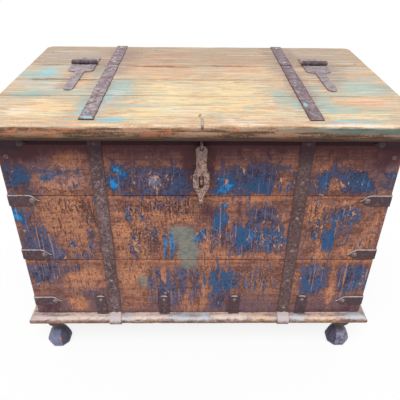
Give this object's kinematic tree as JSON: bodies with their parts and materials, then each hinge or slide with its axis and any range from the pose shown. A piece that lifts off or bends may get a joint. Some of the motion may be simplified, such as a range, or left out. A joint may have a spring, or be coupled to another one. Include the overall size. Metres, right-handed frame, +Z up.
{
  "type": "storage chest",
  "caption": "Plank storage chest on turned feet with a hinged plank lid, iron straps and corner straps, strap hinges on top and a hasp with a wall staple.",
  "frame": {"origin": "on the floor, under the middle of the whole chest", "axes": "+Z up, the front with the hasp faces -Y, +X is the viewer's right"},
  "size_m": [0.908, 0.5859, 0.6982],
  "materials": {
    "wall_wood": "worn blue and teal paint",
    "top_wood": "bare, with teal traces",
    "base_wood": "worn pale paint",
    "foot_wood": "worn slate blue paint",
    "inner_wood": "raw, dusty",
    "strap_iron": "dark, rusty, hammered",
    "hasp_iron": "rusty, rubbed bright",
    "nail_iron": "dark, rubbed heads"
  },
  "bodies": {
    "chest": {"back_plank_bottom": "wall_wood", "back_plank_middle": "wall_wood", "back_plank_top": "wall_wood", "back_strap_left": "strap_iron", "back_strap_right": "strap_iron", "base_clip_nails": "nail_iron", "base_clips_front": "strap_iron", "base_nails": "nail_iron", "base_rail_back": "base_wood", "base_rail_front": "base_wood", "base_rail_left": "base_wood", "base_rail_right": "base_wood", "corner_strap_nails": "nail_iron", "corner_straps_back_left": "strap_iron", "corner_straps_back_right": "strap_iron", "corner_straps_front_left": "strap_iron", "corner_straps_front_right": "strap_iron", "floor_board_1": "inner_wood", "floor_board_2": "inner_wood", "floor_board_3": "inner_wood", "foot_back_left": "foot_wood", "foot_back_right": "foot_wood", "foot_front_left": "foot_wood", "foot_front_right": "foot_wood", "front_plank_bottom": "wall_wood", "front_plank_middle": "wall_wood", "front_plank_top": "wall_wood", "front_strap_left": "strap_iron", "front_strap_right": "strap_iron", "hinge_pin_left": "nail_iron", "hinge_pin_right": "nail_iron", "hinge_rear_leaf_left": "strap_iron", "hinge_rear_leaf_right": "strap_iron", "left_end_plank_bottom": "wall_wood", "left_end_plank_middle": "wall_wood", "left_end_plank_top": "wall_wood", "plank_nails": "nail_iron", "rear_top_board": "top_wood", "rear_top_nails": "nail_iron", "rear_top_strap_left": "strap_iron", "rear_top_strap_right": "strap_iron", "right_end_plank_bottom": "wall_wood", "right_end_plank_middle": "wall_wood", "right_end_plank_top": "wall_wood", "wall_staple": "hasp_iron", "wall_strap_nails": "nail_iron"},
    "lid": {"batten_nails": "nail_iron", "hasp_eye": "hasp_iron", "hinge_front_leaf_left": "strap_iron", "hinge_front_leaf_right": "strap_iron", "lid_batten_left": "inner_wood", "lid_batten_right": "inner_wood", "lid_board_front": "top_wood", "lid_board_middle": "top_wood", "lid_board_rear": "top_wood", "lid_strap_left": "strap_iron", "lid_strap_right": "strap_iron", "lid_top_nails": "nail_iron"},
    "hasp": {"hasp": "hasp_iron"}
  },
  "joints": [
    {"name": "lid_hinge", "type": "hinge", "parent": "chest", "child": "lid", "pos_m": [0, 0.107, 0.6917], "axis": [-1, 0, 0], "range_deg": [0, 105]},
    {"name": "hasp_swing", "type": "hinge", "parent": "lid", "child": "hasp", "pos_m": [0, -0.252, 0.628], "axis": [-1, 0, 0], "range_deg": [0, 110]}
  ]
}
